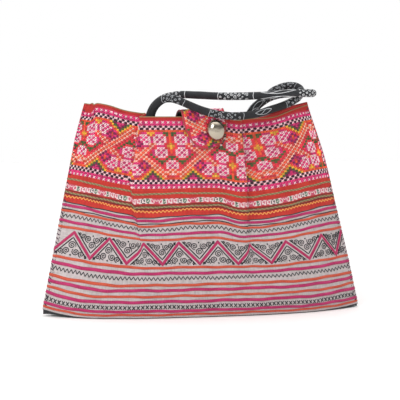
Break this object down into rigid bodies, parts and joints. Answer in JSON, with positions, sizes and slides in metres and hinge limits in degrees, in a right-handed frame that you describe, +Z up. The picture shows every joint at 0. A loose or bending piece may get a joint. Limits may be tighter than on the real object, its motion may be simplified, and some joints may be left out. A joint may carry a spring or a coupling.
{
  "type": "handbag",
  "caption": "Standing cloth handbag widening to its base, with pleated embroidered walls, striped lower cloth, buttoned tab and rope handles.",
  "frame": {"origin": "centre of the base on the surface it stands on", "axes": "+X to the right along the bag's width, +Y from the front wall to the back wall, +Z up; the buttoned front faces -Y"},
  "size_m": [0.3674, 0.086, 0.263],
  "materials": {
    "stitched_cloth": "cross-stitched cotton, matte",
    "red_cloth": "woven cotton, matte",
    "striped_cloth": "woven hemp and cotton, matte",
    "base_cloth": "dark cotton twill, matte",
    "lining_cloth": "dark cotton, matte",
    "polished_metal": "polished",
    "seed_beads": "glossy glass beads",
    "handle_cloth": "batik cotton over rope, matte"
  },
  "bodies": {
    "root": {"front_rim_band": "red_cloth", "front_embroidered_band": "stitched_cloth", "front_braid_band": "red_cloth", "front_striped_panel": "striped_cloth", "back_rim_band": "red_cloth", "back_embroidered_band": "stitched_cloth", "back_braid_band": "red_cloth", "back_striped_panel": "striped_cloth", "base_cloth": "base_cloth", "closing_tab": "stitched_cloth", "tab_lining": "lining_cloth", "dome_button": "polished_metal", "bead_string": "seed_beads", "front_handle": "handle_cloth", "back_handle": "handle_cloth"}
  },
  "joints": []
}
